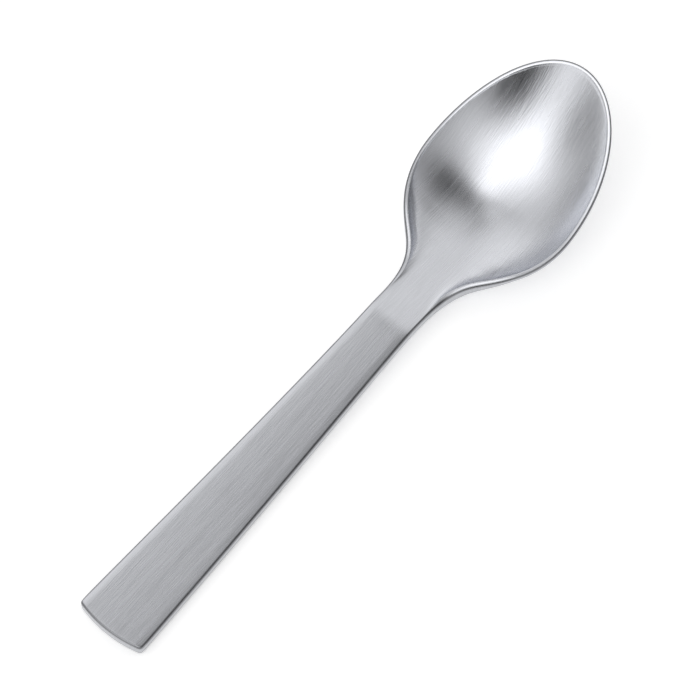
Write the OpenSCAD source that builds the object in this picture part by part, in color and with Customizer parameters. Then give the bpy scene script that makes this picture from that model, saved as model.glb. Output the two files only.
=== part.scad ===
// Espresso spoon, stamped and pressed from one strip of stainless steel.
// It lies at rest on z = 0, on the flat end of its handle and the underside of its bowl.
// +X runs from the handle's end to the tip of the bowl, and +Z is up.

/* [Overall] */
// Length from the end of the handle to the tip of the bowl
length = 108.8; // [100:0.2:118]

/* [Handle] */
// Width of the handle at its end
handle_w = 11.75; // [9:0.05:14]
// Thickness of the strip in the handle and the neck
handle_t = 2.25; // [1.6:0.05:2.8]
// Radius of the bowed end, seen from above
end_r = 20; // [12:0.5:40]
// Radius of the two corners of the end, seen from above
corner_r = 0.7; // [0.5:0.1:2.5]
// Length of the handle's end that lies flat on the table
flat_len = 18; // [5:0.5:20]
// Width of the strip along the long edges that is rounded off
roll_w = 1.5; // [1:0.1:2.2]
// Drop of the top face at the long edges, where it is rounded off
roll_drop = 0.22; // [0.1:0.01:0.4]
// Rise of the top face from its long edges to its middle
crown = 0.1; // [0:0.01:0.2]

/* [Neck] */
// Width of the neck, the narrowest place
neck_w = 7.7; // [6:0.1:9]
// Length over which the neck flares into the bowl
flare_len = 13.3; // [12:0.1:15]
// Length of the flare before the rim starts to rise
rise_wait = 5.5; // [4:0.1:7]
// Length over which the rim rises at the back of the bowl
rise_len = 8.4; // [6:0.1:9]
// Length of the neck between the handle's taper and the flare
neck_len = 5; // [3:0.5:10]
// Height of the neck's underside above the table
neck_lift = 1.7; // [1:0.1:3]
// Depth that rounds off the crease across the neck
crease_soft = 0.5; // [0.2:0.05:0.9]

/* [Bowl] */
// Width of the bowl at its widest place
bowl_w = 27.1; // [24:0.1:30]
// Length of the bowl from its widest place to its tip
bowl_front = 20.2; // [18:0.1:23]
// Length of the bowl from its widest place back to the end of its oval
bowl_back = 14.8; // [14:0.1:18]
// Distance from the widest place back to the lowest place, where the ramp meets the floor
low_back = 5; // [4:0.5:8]
// Thickness of the bowl's floor at its lowest place
bowl_t = 1.3; // [1:0.05:1.6]
// Depth over which the ramp and the floor run into each other
floor_soft = 2.7; // [1.5:0.1:3.5]
// Slope at which the floor leaves the lowest place, as rise over run
floor_rise = 0.19; // [0.12:0.01:0.26]
// How late the floor turns up towards the tip: 2 is a parabola, higher is later
tip_lateness = 2.57; // [2:0.01:3.2]
// Height of the rim's outer side
rim_t = 1.15; // [0.95:0.05:1.5]
// Width of the flat land along the top of the rim
land_w = 0.25; // [0.1:0.05:0.5]
// Radius between the land and the bowl's inner wall
lip_r = 0.2; // [0.1:0.05:0.3]
// Height of the rim above the table where the bowl begins
rim_back_h = 5.8; // [5:0.1:7]
// Height of the rim above the table at the widest place
rim_wide_h = 7.65; // [7:0.05:9]
// Height of the rim above the table at the tip
rim_tip_h = 16.6; // [14:0.1:18]
// Fullness of the bowl's section: 0.5 is an ellipse, 1 a parabola
bowl_fullness = 0.79; // [0.6:0.01:1]
// Fullness of the ramp's section, which is flat between steep sides
ramp_fullness = 0.45; // [0.4:0.01:0.8]
// How much of its whole section the bowl keeps: at less than 1 the rim cuts it before it is steep
bowl_cut_share = 0.84; // [0.7:0.01:0.95]

/* [Edges] */
// Radius that rounds every edge
edge_r = 0.3; // [0.2:0.05:0.45]

/* [Hidden] */

// Stations along the spoon
wide_x = length - bowl_front;
low_x = wide_x - low_back;
// Angle round the oval at which the flare meets it
join_angle = 52;
join_x = wide_x - bowl_back * cos(join_angle);
neck_x = join_x - flare_len;
taper_x = neck_x - neck_len;

// Number of rows in each stretch, and of columns across
corner_rows = 3;
handle_rows = 20;
flare_rows = 14;
back_rows = 9;
front_rows = 14;
columns = 24;
// Angle round the front oval at which its side rows end and its last row begins
front_angle = 48;
// Length of the handle over which the bow of the end fades out of the rows
bow_fade = 9;
// Fullness of the section where the neck begins to dish, close to a parabola
strip_fullness = 1.1;
// Share of its whole section that the ramp keeps
ramp_cut_share = 0.97;
// Distances past the neck at which the section turns to the ramp's, to the bowl's, and to its
// cut, and the lengths that each change takes
ramp_wait = flare_len * 0.058;
ramp_blend = flare_len * 0.376;
bowl_wait = flare_len * 0.707;
bowl_blend = flare_len * 0.526;
cut_wait = flare_len * 1.034;
cut_blend = flare_len * 0.6;

function mix(a, b, t) = a + (b - a) * t;
function unit(t) = min(max(t, 0), 1);
function smooth(t) = let (u = unit(t)) u * u * (3 - 2 * u);
function soft_min(a, b, k) = min(a, b) - pow(max(k - abs(a - b), 0), 2) / (4 * k);
function bezier(p, t) =
    pow(1 - t, 3) * p[0] + 3 * pow(1 - t, 2) * t * p[1] + 3 * (1 - t) * t * t * p[2] + pow(t, 3) * p[3];
function bezier_way(p, t) =
    pow(1 - t, 2) * (p[1] - p[0]) + 2 * (1 - t) * t * (p[2] - p[1]) + t * t * (p[3] - p[2]);

// Side of the spoon seen from above: each entry is a point and the direction of its inset

// A point of a curve, with the outward normal of its left side
function curve_point(p, t) =
    let (way = bezier_way(p, t))
    [bezier(p, t), [-way[1], way[0]] / norm(way)];

// Rounded corner between the bowed end and the straight side
corner_y = handle_w / 2 - corner_r;
corner_x = end_r - sqrt(pow(end_r - corner_r, 2) - corner_y * corner_y);
corner_start = asin(corner_y / (end_r - corner_r));
corner_side = [
    for (k = [0 : corner_rows])
        let (a = mix(corner_start, 90, k / corner_rows))
        [[corner_x, corner_y] + corner_r * [-cos(a), sin(a)], [-cos(a), sin(a)]]
];

// Tapering side, which runs out into the neck
taper_top = [corner_x, handle_w / 2];
taper_foot = [taper_x, neck_w / 2];
taper_pull = 0.7;
handle_curve = [
    taper_top,
    mix(taper_top, taper_foot, taper_pull),
    [taper_x - neck_len, neck_w / 2],
    [neck_x, neck_w / 2]
];
handle_side = [for (k = [1 : handle_rows]) curve_point(handle_curve, k / handle_rows)];

// Flare from the neck to the oval of the bowl
join_y = bowl_w / 2 * sin(join_angle);
join_way = [bowl_back * sin(join_angle), bowl_w / 2 * cos(join_angle)];
neck_pull = flare_len * 0.68;
join_pull = flare_len * 0.47;
flare_curve = [
    [neck_x, neck_w / 2],
    [neck_x + neck_pull, neck_w / 2],
    [join_x, join_y] - join_pull * join_way / norm(join_way),
    [join_x, join_y]
];
flare_side = [for (k = [1 : flare_rows]) curve_point(flare_curve, k / flare_rows)];

// Back and front of the oval
back_side = [
    for (k = [1 : back_rows])
        let (a = mix(join_angle, 90, k / back_rows))
        [[wide_x - bowl_back * cos(a), bowl_w / 2 * sin(a)], [-cos(a), sin(a)]]
];
front_side = [
    for (k = [1 : front_rows])
        let (a = mix(90, front_angle, k / front_rows))
        [[wide_x + bowl_front * cos(a), bowl_w / 2 * sin(a)], [cos(a), sin(a)]]
];

side = concat(corner_side, handle_side, flare_side, back_side, front_side);
rows = len(side) - 1;
first_front = rows - front_rows;

// Bow of the end and of the tip, as the forward shift of a place v across a row
function bow(y) = end_r - sqrt(end_r * end_r - y * y);
function end_shift(row, v, inset) =
    let (y = side[0][0][1] - inset, fade = 1 - smooth((side[row][0][0] - side[0][0][0]) / bow_fade))
    -fade * (bow(y) - bow(y * v));
function tip_shift(row, v, inset) =
    let (t = max(row - first_front, 0) / front_rows)
    t * t * (bowl_front - inset) * (sqrt(1 - pow(v * sin(front_angle), 2)) - cos(front_angle));

// Inset of the bowl's inner wall from the outline. On the handle the lines past the rounded
// edge draw together, so that they stay outside the centre of the corner's arc.
lip = edge_r + land_w + lip_r;
handle_draw = 0.6 * (corner_r - edge_r) / (lip - edge_r);
function drawn(row, inset) =
    inset <= edge_r ? inset : edge_r + (inset - edge_r) * mix(handle_draw, 1, turned(side[row][0][0]));

// Place of a point seen from above: v runs from -1 to 1 across the row
function plan(row, v, inset) =
    let (d = drawn(row, inset), s = side[row][0] - d * side[row][1])
    [s[0] + end_shift(row, v, d) + tip_shift(row, v, d), v * s[1]];

// Heights along the spoon

// Underside of the handle: flat at its end, then a gentle sweep up to the neck
function lift(x) = neck_lift * pow(max(x - flat_len, 0) / (neck_x - flat_len), 2);

// Top of the rim: a parabola through its three heights
back_rise = (rim_wide_h - rim_back_h) / (wide_x - join_x);
front_rise = (rim_tip_h - rim_wide_h) / bowl_front;
rim_curve = (front_rise - back_rise) / (length - join_x);
function rim_line(x) =
    rim_back_h + back_rise * (x - join_x) + rim_curve * (x - join_x) * (x - wide_x);

// How far the section has turned from flat strip to bowl, 0 to 1
function turned(x) = smooth((x - neck_x - rise_wait) / rise_len);
function edge_top(x) = mix(handle_t + lift(x), rim_line(x), turned(x));
function edge_low(x) = edge_top(x) - mix(handle_t, rim_t, turned(x));

// Height along the middle of a face that has this height at the handle's end, this lowest
// height, and this height at its reach near the tip: a ramp goes down from the crease and runs
// into the floor, which rises to the tip
function middle(x, start, lowest, reach, tip) =
    let (
        slope = (start + neck_lift - lowest + floor_soft / 4) / (low_x - neck_x),
        fold = lowest - floor_soft * slope * floor_rise / pow(slope + floor_rise, 2),
        ramp = soft_min(start + lift(x), fold + slope * (low_x - x), crease_soft),
        span = reach - low_x,
        late = pow(max(x - low_x, 0) / span, tip_lateness),
        rise = fold + floor_rise * (x - low_x) + (tip - fold - floor_rise * span) * late
    )
    -soft_min(-ramp, -rise, floor_soft);

// Top of the bowl's inner wall, just below the land
function wall_top(x) = edge_top(x) - lip_r * turned(x);

// Floor of the bowl and underside of the spoon along the middle
wall_reach = length - lip;
low_reach = length - edge_r;
function floor_line(x) = middle(x, handle_t, bowl_t, wall_reach, wall_top(wall_reach));
function keel(x) = middle(x, 0, 0, low_reach, edge_low(low_reach));

// Section across a dished face: the share of the depth that is left at v, from 1 in the middle
// to 0 at the side
function turns_to(x, wait, blend) = smooth((x - neck_x - wait) / blend);
function fullness(x) =
    mix(mix(strip_fullness, ramp_fullness, turns_to(x, ramp_wait, ramp_blend)),
        bowl_fullness, turns_to(x, bowl_wait, bowl_blend));
function cut(x) = mix(ramp_cut_share, bowl_cut_share, turns_to(x, cut_wait, cut_blend));
function depth_share(x, v) =
    let (full = fullness(x), kept = cut(x), rest = pow(1 - kept * kept, full))
    (pow(1 - pow(kept * min(abs(v), 1), 2), full) - rest) / (1 - rest);
function dished(x, v, edge, middle) = edge - (edge - middle) * depth_share(x, v);

// Place v across the front oval of a point seen from above
half_w = bowl_w / 2;
function oval_v(p, inset) =
    let (t = (p[0] - wide_x) / (bowl_front - inset))
    p[1] / (half_w - inset) / sqrt(max(1 - t * t, 0.0001));

// Drop of the handle's top face from its middle to its long edges, which are rounded off
function roll(row, v, p) =
    let (gap = side[max(row, corner_rows)][0][1] - abs(p[1]))
    (1 - turned(p[0] + rise_wait)) * (crown * v * v + roll_drop * pow(max(1 - gap / roll_w, 0), 2));

function on_rim(row, v) = row > first_front && (abs(v) == 1 || row == rows);
function top_point(row, v) =
    let (p = plan(row, v, lip), x = p[0])
    [x, p[1], on_rim(row, v) ? wall_top(x)
        : row > first_front ? dished(x, oval_v(p, lip), wall_top(x), floor_line(x))
        : dished(x, v, wall_top(x), floor_line(x)) - roll(row, v, p)];
function low_point(row, v) =
    let (p = plan(row, v, edge_r), x = p[0])
    [x, p[1], on_rim(row, v) ? edge_low(x)
        : row > first_front ? dished(x, oval_v(p, edge_r), edge_low(x), keel(x))
        : dished(x, v, edge_low(x), keel(x))];

// Lines round the spoon between the top face and the underside, as an inset and a depth:
// the lip, the land, the rounded top edge, the outer side and the rounded bottom edge
bend = edge_r * (1 - cos(45));
lip_bend = lip_r * (1 - cos(45));
edge_insets = [lip - lip_bend, lip - lip_r, edge_r, bend, 0, 0, bend];
top_drops = [lip_bend, 0, 0, bend, edge_r];
low_rises = [edge_r, bend];
top_lines = len(top_drops);
edge_lines = len(edge_insets);
function edge_point(row, v, line) =
    let (p = plan(row, v, edge_insets[line]), x = p[0])
    [x, p[1], line == 0 ? edge_top(x) - top_drops[0] * turned(x) - roll(row, v, p)
        : line < top_lines ? edge_top(x) - top_drops[line] - roll(row, v, p)
        : edge_low(x) + low_rises[line - top_lines]];

// Columns stand closer together towards the edges
function across(k) = k == 0 ? -1 : k == columns ? 1 : sin(mix(-90, 90, k / columns));

// Places round the outline, anticlockwise seen from above, as row and column
outline = concat(
    [for (r = [0 : rows]) [r, 0]],
    [for (k = [1 : columns - 1]) [rows, k]],
    [for (r = [rows : -1 : 0]) [r, columns]],
    [for (k = [columns - 1 : -1 : 1]) [0, k]]
);
turns = len(outline);

face_count = (rows + 1) * (columns + 1);
function top_index(r, k) = r * (columns + 1) + k;
function low_index(r, k) = face_count + top_index(r, k);
function edge_index(n, line) =
    let (m = n % turns, r = outline[m][0], k = outline[m][1])
    line < 0 ? top_index(r, k)
        : line == edge_lines ? low_index(r, k)
        : 2 * face_count + m * edge_lines + line;

// Each four-sided patch is split along the diagonal that starts at the nearest corner of the net
function slants(r, k) = (k < columns / 2) == (r < first_front);

module spoon_solid() {
    points = concat(
        [for (r = [0 : rows], k = [0 : columns]) top_point(r, across(k))],
        [for (r = [0 : rows], k = [0 : columns]) low_point(r, across(k))],
        [for (m = [0 : turns - 1], line = [0 : edge_lines - 1])
            edge_point(outline[m][0], across(outline[m][1]), line)]
    );
    top_faces = [
        for (r = [0 : rows - 1], k = [0 : columns - 1])
            let (a = top_index(r, k), b = top_index(r + 1, k), c = top_index(r + 1, k + 1), d = top_index(r, k + 1))
            each slants(r, k) ? [[a, c, b], [a, d, c]] : [[a, d, b], [b, d, c]]
    ];
    low_faces = [
        for (r = [0 : rows - 1], k = [0 : columns - 1])
            let (a = low_index(r, k), b = low_index(r + 1, k), c = low_index(r + 1, k + 1), d = low_index(r, k + 1))
            each slants(r, k) ? [[a, b, c], [a, c, d]] : [[a, b, d], [b, c, d]]
    ];
    edge_faces = [
        for (n = [0 : turns - 1], line = [-1 : edge_lines - 1])
            let (
                a = edge_index(n, line),
                b = edge_index(n + 1, line),
                c = edge_index(n + 1, line + 1),
                d = edge_index(n, line + 1)
            )
            each [[a, b, c], [a, c, d]]
    ];
    polyhedron(points, concat(top_faces, low_faces, edge_faces), convexity = 6);
}

module spoon() {
    color("silver")
        translate([-length / 2, 0, 0])
            spoon_solid();
}

spoon();
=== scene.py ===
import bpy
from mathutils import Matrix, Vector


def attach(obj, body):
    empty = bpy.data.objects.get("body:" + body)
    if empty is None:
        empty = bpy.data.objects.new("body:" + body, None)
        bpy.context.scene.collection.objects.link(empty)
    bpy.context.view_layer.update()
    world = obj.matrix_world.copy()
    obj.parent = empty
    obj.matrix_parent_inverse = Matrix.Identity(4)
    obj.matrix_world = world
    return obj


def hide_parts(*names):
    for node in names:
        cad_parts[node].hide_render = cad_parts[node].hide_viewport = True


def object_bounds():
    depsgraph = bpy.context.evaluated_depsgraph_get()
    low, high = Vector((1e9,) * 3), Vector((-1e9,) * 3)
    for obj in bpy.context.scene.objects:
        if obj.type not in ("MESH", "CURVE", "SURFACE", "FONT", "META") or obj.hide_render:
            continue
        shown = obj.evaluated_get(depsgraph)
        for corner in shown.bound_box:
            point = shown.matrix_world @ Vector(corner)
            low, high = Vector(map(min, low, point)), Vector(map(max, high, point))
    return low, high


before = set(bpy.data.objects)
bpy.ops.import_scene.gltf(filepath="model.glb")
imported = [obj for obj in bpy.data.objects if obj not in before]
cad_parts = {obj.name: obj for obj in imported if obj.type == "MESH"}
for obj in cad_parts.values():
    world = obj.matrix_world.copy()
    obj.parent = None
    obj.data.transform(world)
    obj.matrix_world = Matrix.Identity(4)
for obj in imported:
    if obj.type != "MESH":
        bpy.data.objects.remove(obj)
cad_box = [list(corner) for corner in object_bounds()]

import math

import bmesh
import bpy
import numpy as np
from mathutils.kdtree import KDTree

bpy.ops.object.select_all(action="DESELECT")


# Camera
# The photograph is taken with a long lens from about 64 degrees above the table, and the
# spoon's axis runs up to the right at 50 degrees on the table.
ELEVATION = 64.393
TURN = 50.122
DISTANCE = 0.7
PIXELS_PER_METRE = 6800
PICTURE_WIDTH = 700
SENSOR_WIDTH = 36
# A point on the handle's middle line lies at this pixel: so far in from its end, and so high
HANDLE_PIXEL = (109.881, 627.992)
PIXEL_INWARD = 0.000862
PIXEL_HEIGHT = 0.000915

tilt, turn = math.radians(90 - ELEVATION), math.radians(TURN)
right = np.array([math.cos(turn), -math.sin(turn), 0])
view = np.array([math.sin(turn) * math.sin(tilt), math.cos(turn) * math.sin(tilt), -math.cos(tilt)])
up = np.cross(right, view)
focal_pixels = PIXELS_PER_METRE * DISTANCE
offset = (np.array(HANDLE_PIXEL) - (PICTURE_WIDTH - 1) / 2) / focal_pixels
sight = view + right * offset[0] - up * offset[1]
known = np.array([cad_box[0][0] + PIXEL_INWARD, 0, PIXEL_HEIGHT])
eye = known + sight * (DISTANCE * math.cos(tilt) / sight[2])
bpy.ops.object.camera_add(location=eye, rotation=(tilt, 0, -turn))
camera = bpy.context.object
camera.data.sensor_width = SENSOR_WIDTH
camera.data.lens = SENSOR_WIDTH * focal_pixels / PICTURE_WIDTH
camera.data.clip_start = 0.01
bpy.context.scene.camera = camera


# Spoon
# One strip of stainless steel is blanked to the spoon's outline, and its edges are rounded. One
# die presses the handle's rolled edges, the crease and the dipped edges of the neck, and the
# bowl. The faces are brushed along the spoon, and the edges are darkened with painted shade,
# which stands in for dark reflections and the contact shadow.

# The blank, seen from above
LENGTH = 0.1088
STRIP = 0.00225
HANDLE_WIDTH = 0.01175
END_RADIUS = 0.020
CORNER_RADIUS = 0.0007
NECK_WIDTH = 0.0077
NECK_LENGTH = 0.005
FLARE_LENGTH = 0.0133
BOWL_WIDTH = 0.0271
BOWL_FRONT = 0.0202  # the oval's reach from its widest place to the tip
BOWL_BACK = 0.0148  # and backwards, where the flare cuts it off
JOIN_ANGLE = math.radians(52)  # the place on the oval's back where the flare joins it
TIP_ANGLE = math.radians(48)  # the place on its front where the sides end and the tip begins
TAPER_PULL = 0.7  # how long the taper holds the handle's line, as a share of its length
NECK_PULL = 0.68  # how long the flare holds the neck's line, in flare lengths
JOIN_PULL = 0.47  # how long it holds the oval's line, in flare lengths

# The bowl's rim is a rounded corner, a flat land and an inner rounding. The strip's edges start
# to turn into it at some distance past the neck, over some length.
EDGE_RADIUS = 0.0003
LAND = 0.00025
LIP_RADIUS = 0.0002
RISE_WAIT = 0.0055
RISE_LENGTH = 0.0084

half_handle, half_neck, half_bowl = HANDLE_WIDTH / 2, NECK_WIDTH / 2, BOWL_WIDTH / 2
wide_x = LENGTH - BOWL_FRONT
join_x = wide_x - BOWL_BACK * math.cos(JOIN_ANGLE)
neck_x = join_x - FLARE_LENGTH
taper_x = neck_x - NECK_LENGTH
lip = EDGE_RADIUS + LAND + LIP_RADIUS


def smooth(t):
    """Eases from 0 to 1 as t goes from 0 to 1."""
    t = np.clip(t, 0, 1)
    return t * t * (3 - 2 * t)


def mix(a, b, t):
    """The value at a share t of the way from a to b."""
    return a + (b - a) * t


def turned(x):
    """How far the strip's edge has turned into the bowl's rim, from 0 to 1."""
    return smooth((x - neck_x - RISE_WAIT) / RISE_LENGTH)


def curve(points, count):
    """Points along a cubic curve, after its first, with the outward normals of its left side."""
    a, b, c, d = [np.array(p, float) for p in points]
    t = np.linspace(0, 1, count + 1)[1:, None]
    place = (1 - t) ** 3 * a + 3 * (1 - t) ** 2 * t * b + 3 * (1 - t) * t * t * c + t ** 3 * d
    way = (1 - t) ** 2 * (b - a) + 2 * (1 - t) * t * (c - b) + t * t * (d - c)
    way /= np.hypot(way[:, :1], way[:, 1:])
    return place, np.stack([-way[:, 1], way[:, 0]], 1)


def oval(angles, reach, sign):
    """Points of the bowl's oval, with their outward normals."""
    place = np.stack([wide_x + sign * reach * np.cos(angles), half_bowl * np.sin(angles)], 1)
    way = np.stack([sign * half_bowl * np.cos(angles), reach * np.sin(angles)], 1)
    return place, way / np.hypot(way[:, :1], way[:, 1:])


def left_side(steps, last):
    """The outline's left side, from the end's corner to an angle on the oval's front.

    The steps are those of the corner, the handle, the flare, and the bowl's back and front.
    """
    corner, handle, flare, back, front = steps
    corner_y = half_handle - CORNER_RADIUS
    corner_x = END_RADIUS - math.sqrt((END_RADIUS - CORNER_RADIUS) ** 2 - corner_y ** 2)
    start = math.asin(corner_y / (END_RADIUS - CORNER_RADIUS))
    a = np.linspace(start, math.pi / 2, corner + 1)
    out = np.stack([-np.cos(a), np.sin(a)], 1)
    top = np.array([corner_x, half_handle])
    foot = np.array([taper_x, half_neck])
    neck_held = [neck_x + NECK_PULL * FLARE_LENGTH, half_neck]
    join = np.array([join_x, half_bowl * math.sin(JOIN_ANGLE)])
    way = np.array([BOWL_BACK * math.sin(JOIN_ANGLE), half_bowl * math.cos(JOIN_ANGLE)])
    join_held = join - JOIN_PULL * FLARE_LENGTH * way / np.hypot(*way)
    neck = [neck_x, half_neck]
    stretches = [
        ([corner_x, corner_y] + CORNER_RADIUS * out, out),
        curve([top, mix(top, foot, TAPER_PULL), [taper_x - NECK_LENGTH, half_neck], neck], handle),
        curve([neck, neck_held, join_held, join], flare),
        oval(np.linspace(JOIN_ANGLE, math.pi / 2, back + 1)[1:], BOWL_BACK, -1),
        oval(np.linspace(math.pi / 2, last, front + 1)[1:], BOWL_FRONT, 1),
    ]
    return np.concatenate([s[0] for s in stretches]), np.concatenate([s[1] for s in stretches])


def bow(y):
    """How far the handle's bowed end falls back at a distance from the middle line."""
    return END_RADIUS - np.sqrt(END_RADIUS ** 2 - y ** 2)


# The blank starts as a flat grid. Its columns are drawn together towards the edges, and each
# row is moved and widened to its place, with its two outer points apart from the inner ones.
COLUMNS = 24
CORNER_ROWS = 2
SIDE_ROWS = (CORNER_ROWS, 22, 16, 9)  # on the corner, the handle, the flare and the bowl's back
FRONT_ROWS = 14
CORNER_INSET = 0.6  # how far in the handle's inner points lie, from edge to corner radius
LAST_LEAD = 0.05  # how far round the tip the last row's inner points lead, in radians
BOW_FADE = 0.009

outline = left_side((*SIDE_ROWS, FRONT_ROWS + 1), TIP_ANGLE)[0]
ring, ring_out = left_side((*SIDE_ROWS, FRONT_ROWS), TIP_ANGLE)
inset = mix(mix(EDGE_RADIUS, CORNER_RADIUS, CORNER_INSET), lip, turned(ring[:, 0]))
ring = ring - inset[:, None] * ring_out
last_inner = oval(np.array([TIP_ANGLE - LAST_LEAD]), BOWL_FRONT, 1)[0]
outer = outline[1:]
inner = np.concatenate([outline[:1], ring[1:CORNER_ROWS], ring[CORNER_ROWS + 1:], last_inner])
ROWS = len(outer) - 1

# The end of the handle and the tip of the bowl are bowed: the inner points of the rows near
# them move forward, by the end's arc and by the oval of the tip
spread = np.sin(math.pi / 2 * np.linspace(-1, 1, COLUMNS - 1))
across = inner[:, 1:] * spread
end_share = 1 - smooth((inner[:, :1] - inner[0, 0]) / BOW_FADE)
row_number = np.arange(ROWS + 1)[:, None]
tip_share = np.clip(row_number - (ROWS - 1 - FRONT_ROWS), 0, FRONT_ROWS) / FRONT_ROWS
row_inset = np.where(row_number < ROWS, lip, 0)
half_row = half_bowl - row_inset
tip_round = np.sqrt(1 - (across / half_row) ** 2) - np.sqrt(1 - (inner[:, 1:] / half_row) ** 2)
tip_bow = tip_share ** 2 * (BOWL_FRONT - row_inset) * np.where(tip_share > 0, tip_round, 0)
forward = end_share * bow(across) + tip_bow
inner[:, 0] -= end_share[:, 0] * bow(inner[:, 1])

bpy.ops.mesh.primitive_grid_add(x_subdivisions=ROWS, y_subdivisions=COLUMNS, size=1)
spoon = bpy.context.object
spoon.name = "spoon_steel"
bpy.ops.object.mode_set(mode="EDIT")
bpy.context.tool_settings.mesh_select_mode = (True, False, False)
blank = bmesh.from_edit_mesh(spoon.data)
blank.verts.ensure_lookup_table()


def grid_point(row, column):
    """The number of the grid's point in a row and column."""
    return column * (ROWS + 1) + row


def hold(rows, columns):
    """Selects the grid's points in these rows and columns alone, and returns them."""
    bpy.ops.mesh.select_all(action="DESELECT")
    held = [blank.verts[grid_point(row, column)] for row in rows for column in columns]
    for point in held:
        point.select = True
    return held


def widen(held, place, reach):
    """Moves one row's held points to a place along the spoon, and widens them to a reach."""
    bpy.ops.transform.translate(value=(place - held[0].co.x, 0, 0))
    now = max(point.co.y for point in held)
    bpy.ops.transform.resize(value=(1, reach / now, 1), center_override=(place, 0, 0))


half = COLUMNS // 2
for column in range(2, half):
    hold(range(ROWS + 1), (column, COLUMNS - column))
    wanted = math.sin(math.pi / 2 * (half - column) / (half - 1))
    bpy.ops.transform.resize(value=(1, wanted / (1 - column / half), 1), center_override=(0, 0, 0))
hold(range(ROWS + 1), (1, COLUMNS - 1))
bpy.ops.transform.resize(value=(1, half / (half - 1), 1), center_override=(0, 0, 0))
for row in range(ROWS + 1):
    widen(hold([row], (0, COLUMNS)), *outer[row])
    widen(hold([row], range(1, COLUMNS)), *inner[row])
bpy.ops.object.mode_set(mode="OBJECT")


def finish(kind, **settings):
    """Adds a modifier with these settings and applies it."""
    modifier = spoon.modifiers.new(kind.lower(), kind)
    for name, value in settings.items():
        setattr(modifier, name, value)
    bpy.ops.object.modifier_apply(modifier=modifier.name)


# A point's weight runs from 0 to 1, so it holds each move as a share of one that none exceeds
MOST_FORWARD = 0.01
bowed = spoon.vertex_groups.new(name="bowed")
for row in range(ROWS + 1):
    for column in range(1, COLUMNS):
        bowed.add([grid_point(row, column)], forward[row, column - 1] / MOST_FORWARD, "REPLACE")
finish("DISPLACE", direction="X", vertex_group="bowed", strength=MOST_FORWARD, mid_level=0)
finish("SOLIDIFY", thickness=STRIP, offset=-1)
finish("BEVEL", width=EDGE_RADIUS, segments=2, limit_method="ANGLE", angle_limit=math.radians(60))
finish("SUBSURF", levels=2, render_levels=2)

# The dies are the heights of the pressed top face and underside above the table, over a place
# (x, y). Along the middle, the handle lies flat at its end and sweeps up to the neck, a ramp
# falls from the crease to the lowest place, and the floor rises from there to the tip.
FLAT_LENGTH = 0.018
NECK_LIFT = 0.0017
CREASE_BACK = 0.0034  # from the neck towards the handle
CREASE_SOFT = 0.0002
CREASE_EASE = 0.016  # the length over which the ramp comes down to its slope
MOST_EASE = 1.25
LOW_BACK = 0.005  # from the widest place to the lowest
BOWL_THICKNESS = 0.0013
FLOOR_SOFT = 0.0027
FLOOR_RISE = 0.19
TIP_LATENESS = 2.57  # how late the floor turns up: 2 is a parabola, and higher is later

# The edges dip along the ramp, and then rise round the bowl as a thin rim
EDGE_DIP = 0.0009
EDGE_DIP_LENGTH = 0.0085
RIM_SIDE = 0.00115
RIM_BACK_HEIGHT = 0.0058
RIM_WIDE_HEIGHT = 0.00765
RIM_TIP_HEIGHT = 0.0166

# The section across. A fullness of 0.5 makes an ellipse and 1 a parabola, a higher flatness
# keeps the floor level further out, and the edge cuts the section at a share of its half width.
STRIP_FULLNESS = 1.1
RAMP_FULLNESS = 0.45
BOWL_FULLNESS = 0.79
RAMP_FLATNESS = 5
BOWL_FLATNESS = 2
RAMP_CUT = 0.97
BOWL_CUT = 0.84
# Where each change starts past the neck, and how long it takes, in flare lengths
TO_RAMP_FULLNESS = (-0.26, 0.1)
TO_BOWL_FULLNESS = (0.707, 0.526)
TO_BOWL_FLATNESS = (0.05, 0.9)
TO_BOWL_CUT = (1.034, 0.6)

# The handle's top falls a little towards its edges, which are rolled down
CROWN = 0.0001
ROLL_WIDTH = 0.0015
ROLL_DROP = 0.00022

low_x = wide_x - LOW_BACK
crease_x = neck_x - CREASE_BACK
back_rise = (RIM_WIDE_HEIGHT - RIM_BACK_HEIGHT) / (wide_x - join_x)
front_rise = (RIM_TIP_HEIGHT - RIM_WIDE_HEIGHT) / BOWL_FRONT
rim_curve = (front_rise - back_rise) / (LENGTH - join_x)

# The outline's left side from the middle of the end to the tip, in steps so short that a point
# of the blank can be measured from the nearest one
END_STEPS = 80
FINE_STEPS = (30, 260, 200, 110, 400)
fine, fine_out = left_side(FINE_STEPS, 0)
end_y = np.linspace(0, fine[0, 1], END_STEPS, endpoint=False)
end_out = np.stack([-np.sqrt(END_RADIUS ** 2 - end_y ** 2), end_y], 1) / END_RADIUS
fine = np.concatenate([np.stack([bow(end_y), end_y], 1), fine])
fine_out = np.concatenate([end_out, fine_out])
straight_from = END_STEPS + FINE_STEPS[0]


def half_width(x, depth):
    """Half width of the outline drawn in by a depth, from the straight sides on."""
    whole = np.interp(x, fine[straight_from:, 0], fine[straight_from:, 1])
    drawn_in = (fine - lip * fine_out)[straight_from:]
    return whole + (np.interp(x, drawn_in[:, 0], drawn_in[:, 1]) - whole) * depth / lip


def lift(x):
    """How far the handle has swept up."""
    return NECK_LIFT * (np.maximum(x - FLAT_LENGTH, 0) / (neck_x - FLAT_LENGTH)) ** 2


def edge_top(x):
    """Height of the edge's upper corner: the strip's, and then the rim's."""
    rim = RIM_BACK_HEIGHT + back_rise * (x - join_x) + rim_curve * (x - join_x) * (x - wide_x)
    dip = EDGE_DIP * smooth((x - crease_x) / EDGE_DIP_LENGTH)
    return mix(STRIP + lift(x) - dip, rim, turned(x))


def edge_low(x):
    """Height of the edge's lower corner."""
    return edge_top(x) - mix(STRIP, RIM_SIDE, turned(x))


def wall_top(x):
    """Height at which the bowl's wall starts, under the lip's rounding."""
    return edge_top(x) - LIP_RADIUS * turned(x)


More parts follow.
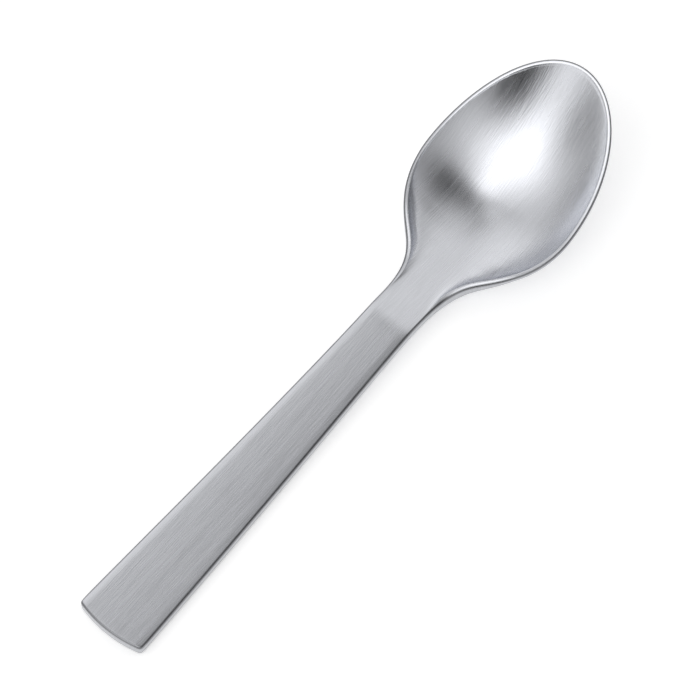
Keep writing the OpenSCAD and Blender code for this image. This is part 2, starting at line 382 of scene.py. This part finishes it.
def soft_min(a, b, soft):
    """The lower of two heights, with a rounded change from one to the other."""
    return np.minimum(a, b) - np.maximum(soft - abs(a - b), 0) ** 2 / (4 * soft)


def middle(x, start, lowest, reach, tip):
    """Height along the middle: the handle, a ramp from the crease, and the floor up to the tip."""
    slope = (start + NECK_LIFT - lowest + FLOOR_SOFT / 4) / (low_x - neck_x)
    fold = lowest - FLOOR_SOFT * slope * FLOOR_RISE / (slope + FLOOR_RISE) ** 2
    fall = fold + slope * (low_x - crease_x) - start - lift(crease_x)
    eased = fall * np.clip(1 - (x - crease_x) / CREASE_EASE, 0, MOST_EASE) ** 2
    ramp = soft_min(start + lift(x), fold + slope * (low_x - x) - eased, CREASE_SOFT)
    span = reach - low_x
    late = (np.maximum(x - low_x, 0) / span) ** TIP_LATENESS
    rise = fold + FLOOR_RISE * (x - low_x) + (tip - fold - FLOOR_RISE * span) * late
    return -soft_min(-ramp, -rise, FLOOR_SOFT)


def turns_to(x, wait, blend):
    """How far a change of the section has come, from 0 to 1."""
    return smooth((x - neck_x - wait * FLARE_LENGTH) / (blend * FLARE_LENGTH))


def dished(x, y, edge, floor_height, depth):
    """Height of a dished face, whose depth below its edge fades to nothing at the side."""
    v = np.clip(np.abs(y) / np.maximum(half_width(x, depth), 1e-6), 0, 1)
    full = mix(STRIP_FULLNESS, RAMP_FULLNESS, turns_to(x, *TO_RAMP_FULLNESS))
    full = mix(full, BOWL_FULLNESS, turns_to(x, *TO_BOWL_FULLNESS))
    flat = mix(RAMP_FLATNESS, BOWL_FLATNESS, turns_to(x, *TO_BOWL_FLATNESS))
    kept = mix(RAMP_CUT, BOWL_CUT, turns_to(x, *TO_BOWL_CUT))
    rest = (1 - kept ** flat) ** full
    share = ((1 - (kept * v) ** flat) ** full - rest) / (1 - rest)
    return edge - (edge - floor_height) * share


def top_face(x, y, gap):
    """Height of the pressed top face, at a gap from the outline."""
    side = half_width(x, 0)
    rolled = np.clip(1 - (side - np.abs(y)) / ROLL_WIDTH, 0, 1)
    roll = (1 - turned(x + RISE_WAIT)) * (CROWN * (y / side) ** 2 + ROLL_DROP * rolled ** 2)
    floor_line = middle(x, STRIP, BOWL_THICKNESS, LENGTH - lip, wall_top(LENGTH - lip))
    depth = mix(EDGE_RADIUS, lip, smooth((x - neck_x) / RISE_WAIT))
    bowl = dished(x, y, wall_top(x), floor_line, depth)
    into_lip = np.clip((gap - EDGE_RADIUS - LAND) / LIP_RADIUS, 0, 1)
    land = edge_top(x) - turned(x) * LIP_RADIUS * (1 - np.sqrt(1 - into_lip ** 2))
    return np.where((gap < lip) & (turned(x) > 0), land, bowl) - roll


def underside(x, y, gap):
    """Height of the pressed underside, at a gap from the outline."""
    keel = middle(x, 0, 0, LENGTH - EDGE_RADIUS, edge_low(LENGTH - EDGE_RADIUS))
    bowl = dished(x, y, edge_low(x), keel, EDGE_RADIUS)
    return np.where((gap < EDGE_RADIUS) & (turned(x) > 0), edge_low(x), bowl)


# Pressing moves each point of the blank straight up, by the die that its side of the strip meets
MOST_RISE = 0.02
points = np.empty(len(spoon.data.vertices) * 3)
spoon.data.vertices.foreach_get("co", points)
x, y, z = points.reshape(-1, 3).T
nearest = KDTree(len(fine))
for number, point in enumerate(fine):
    nearest.insert((*point, 0), number)
nearest.balance()
found = np.array([nearest.find((px, abs(py), 0))[1] for px, py in zip(x, y)])
gap = ((fine[found] - np.stack([x, np.abs(y)], 1)) * fine_out[found]).sum(1)
upper = np.clip((z + STRIP - EDGE_RADIUS) / (STRIP - 2 * EDGE_RADIUS), 0, 1)
height = mix(underside(x, y, gap) + z + STRIP, top_face(x, y, gap) + z, upper)
pressed = spoon.vertex_groups.new(name="pressed")
for number, rise in enumerate(height - z):
    pressed.add([number], rise / MOST_RISE, "REPLACE")
finish("DISPLACE", direction="Z", vertex_group="pressed", strength=MOST_RISE, mid_level=0)
spoon.vertex_groups.clear()

# Painted shade is marked along the edge for the steel's colour, standing in for dark reflections
# and the contact shadow: in full at its two corners, and less between them. The lengths are in
# edge radii, from the outline inwards and from a face down the side.
SIDE_SHADE = 0.4
CORNER_FADE = 0.4
SHADE_REACH = 1.3
SHADE_FADE = 0.5
from_face = np.minimum(-z, z + STRIP)
at_corner = np.clip(1 + CORNER_FADE - from_face / EDGE_RADIUS, 0, CORNER_FADE) / CORNER_FADE
at_edge = np.clip((SHADE_REACH * EDGE_RADIUS - gap) / (SHADE_FADE * EDGE_RADIUS), 0, 1)
shade_layer = spoon.data.attributes.new("painted_edge_shade", "FLOAT", "POINT")
shade_layer.data.foreach_set("value", mix(SIDE_SHADE, 1, at_corner) * at_edge)
# It was modelled from the end of the handle, and the frame's origin is under its middle
spoon.location = (-LENGTH / 2, 0, 0)
bpy.ops.object.transform_apply(location=True, rotation=False, scale=False)
bpy.ops.object.shade_smooth()

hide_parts("spoon")
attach(spoon, "root")


class Strand:
    """A value, colour or vector in a node tree, so that its maths reads as plain expressions."""

    def __init__(self, tree, socket=None):
        self.tree, self.socket = tree, socket

    def node(self, kind, settings, values, output=0):
        """Adds a node, and returns one of its outputs."""
        made = self.tree.nodes.new("ShaderNode" + kind)
        for name, setting in settings.items():
            setattr(made, name, setting)
        for name, value in values.items():
            if isinstance(value, Strand):
                self.tree.links.new(value.socket, made.inputs[name])
            else:
                made.inputs[name].default_value = value
        return Strand(self.tree, made.outputs[output])

    def maths(self, operation, *values):
        """Adds a Math node for one operation on numbers and values."""
        return self.node("Math", {"operation": operation}, dict(enumerate(values)))

    def __add__(self, other):
        return self.maths("ADD", self, other)

    def __radd__(self, other):
        return self.maths("ADD", other, self)

    def __sub__(self, other):
        return self.maths("SUBTRACT", self, other)

    def __rsub__(self, other):
        return self.maths("SUBTRACT", other, self)

    def __mul__(self, other):
        return self.maths("MULTIPLY", self, other)

    def __rmul__(self, other):
        return self.maths("MULTIPLY", other, self)


# Brushed steel, a little blue. Fine lines and longer streaks vary its shade and height, and the
# streaks and soft clouds its roughness. Its edges are darkened with painted shade.
STEEL_SHADE = 0.70
RED_SHARE = 0.985
BLUE_SHARE = 1.05
FINE_SHADE = 0.10
STREAK_SHADE = 0.06
# Painted shade: how far the marked edges are darkened, for dark reflections and the contact shadow
EDGE_SHADE_STRENGTH = 0.66
ROUGHNESS = 0.26
STREAK_ROUGHNESS = 0.10
CLOUD_ROUGHNESS = 0.06
STREAK_HEIGHT = 0.5
LINE_DEPTH = 0.00004
LINE_STRENGTH = 0.35

steel = bpy.data.materials.new("brushed_steel")
steel.use_nodes = True
shader = steel.node_tree.nodes["Principled BSDF"]
tree = Strand(steel.node_tree)
place = tree.node("TexCoord", {}, {}, "Object")


def marks(along, across, up, detail):
    """Noise from 0 to 1, about 0.5, with so many marks to the metre each way."""
    scale = (along, across, up)
    drawn_out = tree.node("Mapping", {"vector_type": "POINT"}, {"Vector": place, "Scale": scale})
    return tree.node("TexNoise", {}, {"Vector": drawn_out, "Scale": 1, "Detail": detail})


fine_lines = marks(350, 6500, 500, 1)
streaks = marks(70, 1800, 300, 2)
clouds = marks(60, 120, 120, 2)
# The marked edges darken the colour: painted shade for dark reflections and the contact shadow
edge_shade = tree.node("Attribute", {"attribute_name": "painted_edge_shade"}, {}, "Fac")
brushed = STEEL_SHADE + FINE_SHADE * (fine_lines - 0.5) + STREAK_SHADE * (streaks - 0.5)
shade = brushed * (1 - EDGE_SHADE_STRENGTH * edge_shade)
tint = {"Red": shade * RED_SHARE, "Green": shade, "Blue": shade * BLUE_SHARE}
colour = tree.node("CombineColor", {}, tint)
rough = ROUGHNESS + STREAK_ROUGHNESS * (streaks - 0.5) + CLOUD_ROUGHNESS * (clouds - 0.5)
relief = {
    "Strength": LINE_STRENGTH,
    "Distance": LINE_DEPTH,
    "Height": fine_lines + STREAK_HEIGHT * streaks,
}
bump = tree.node("Bump", {}, relief)
shader.inputs["Metallic"].default_value = 1
for name, value in (("Base Color", colour), ("Roughness", rough), ("Normal", bump)):
    steel.node_tree.links.new(value.socket, shader.inputs[name])
spoon.data.materials.append(steel)


# Floor
# The spoon lies on a large sheet of smooth white paper. The sheet takes the spoon's shadow, and
# it glows only where it is seen directly, in the steel or through glass, so that it looks white.
SHEET_SIZE = 3
SHEET_WHITE = 0.9
SHEET_GLOW = 0.38

sheet = bpy.data.materials.new("white_ground")
sheet.use_nodes = True
bpy.ops.mesh.primitive_plane_add(size=SHEET_SIZE, location=(0, 0, 0))
floor = bpy.context.object
floor.name = "ground"
floor.data.materials.append(sheet)
paper = sheet.node_tree.nodes["Principled BSDF"]
paper.inputs["Base Color"].default_value = (SHEET_WHITE, SHEET_WHITE, SHEET_WHITE, 1)
paper.inputs["Roughness"].default_value = 1
paper.inputs["Specular IOR Level"].default_value = 0
paper.inputs["Emission Strength"].default_value = 1
ground = Strand(sheet.node_tree)
rays = ("Is Camera Ray", "Is Glossy Ray", "Is Transmission Ray")
camera_ray, glossy_ray, glass_ray = [ground.node("LightPath", {}, {}, ray) for ray in rays]
seen = ground.maths("MAXIMUM", ground.maths("MAXIMUM", camera_ray, glossy_ray), glass_ray)
glowing = seen * SHEET_GLOW
white = ground.node("CombineColor", {}, {"Red": glowing, "Green": glowing, "Blue": glowing})
sheet.node_tree.links.new(white.socket, paper.inputs["Emission Color"])


# Light
# Soft lights and dark cards stand round the spoon in a dark studio, out of the picture, and the
# steel mirrors them. Their directions, widths and amounts were fitted by a program to the levels
# of the steel in the photograph.
WORLD_LEVEL = -0.149
TABLE_FALL = 0.15
TABLE_SHARPNESS = 7.0
LEAST_LIGHT = 0.01

world = bpy.data.worlds.new("studio")
bpy.context.scene.world = world
world.use_nodes = True
studio = Strand(world.node_tree)
towards = studio.node("TexCoord", {}, {}, "Generated")


def glow(turn, height, sharp, amount):
    """A soft light, or a dark card where the amount is below zero, in a direction in degrees.

    Turn 0 is beyond the tip, 90 on the spoon's left side and 180 beyond the handle's end.
    """
    a, h = math.radians(turn), math.radians(height)
    centre = (math.cos(h) * math.cos(a), math.cos(h) * math.sin(a), math.sin(h))
    near = studio.node("VectorMath", {"operation": "DOT_PRODUCT"}, {0: towards, 1: centre}, "Value")
    return amount * studio.maths("EXPONENT", sharp * (near - 1))


height_seen = studio.node("SeparateXYZ", {}, {"Vector": towards}, "Z")
light = WORLD_LEVEL - TABLE_FALL * studio.maths("EXPONENT", -TABLE_SHARPNESS * height_seen)
for turn_to, height_to, sharp, amount in (
    (182, 25, 2.6, 2.94),  # a broad light beyond the handle's end
    (172, 87, 14.4, -2.06),  # a dark card overhead
    (153, 20, 10.9, -1.60),  # dark cards on both sides of the broad light
    (204, 20, 9.0, -2.71),
    (58, 16, 8.7, 0.83),  # a low light on the left of the tip
    (327, 73, 1.9, 1.27),  # a broad light overhead
    (284, 54, 11.5, -1.17),  # a dark card on the right side
    (198, 79, 35.5, 1.56),  # a small light near the card overhead
    (42, 70, 127.4, -0.58),  # a small dark card, high towards the tip
    (330, 8, 29.4, 1.18),  # a low light on the right of the tip
    (103, 54, 28.5, -0.39),  # a dark card on the left side
    (14, 44, 10.2, -0.03),  # faint dark cards beyond the tip, and high on its left
    (63, 77, 78.8, 0.80),  # a small light, high on the left
    (38, 60, 60.0, -0.09),
):
    light = light + glow(turn_to, height_to, sharp, amount)
light = studio.maths("MAXIMUM", light, LEAST_LIGHT)
world.node_tree.links.new(light.socket, world.node_tree.nodes["Background"].inputs["Color"])
bpy.context.scene.view_settings.view_transform = "Standard"
